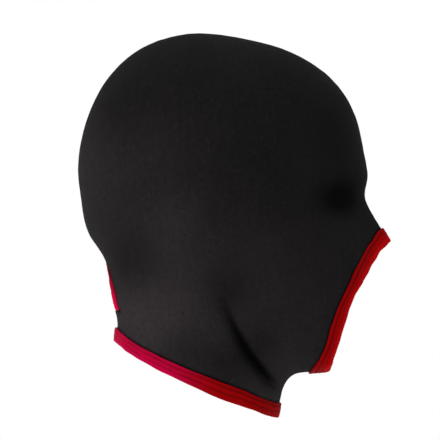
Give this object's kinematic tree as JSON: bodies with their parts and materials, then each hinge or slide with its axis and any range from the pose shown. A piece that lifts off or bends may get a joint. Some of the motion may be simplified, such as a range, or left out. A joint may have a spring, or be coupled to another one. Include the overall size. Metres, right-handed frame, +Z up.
{
  "type": "open-face stretch hood",
  "caption": "Close-fitting black stretch-fabric hood over the whole head, open at the lower face, with red folded tape binding the face opening, neck edge and a nape keyhole.",
  "frame": {"origin": "top of the hollow inside the crown, where the head bears on the hood", "axes": "+Z up through the crown, -Y towards the face opening, +X towards the hood's own left"},
  "size_m": [0.1642, 0.2107, 0.2586],
  "materials": {
    "black_fabric": "matt black fine stretch knit with a faint sheen",
    "red_tape": "matt red knit tape, folded and sewn in two rows"
  },
  "bodies": {
    "root": {"right_panel": "black_fabric", "left_panel": "black_fabric", "face_binding": "red_tape", "neck_binding": "red_tape", "keyhole_binding": "red_tape"}
  },
  "joints": []
}
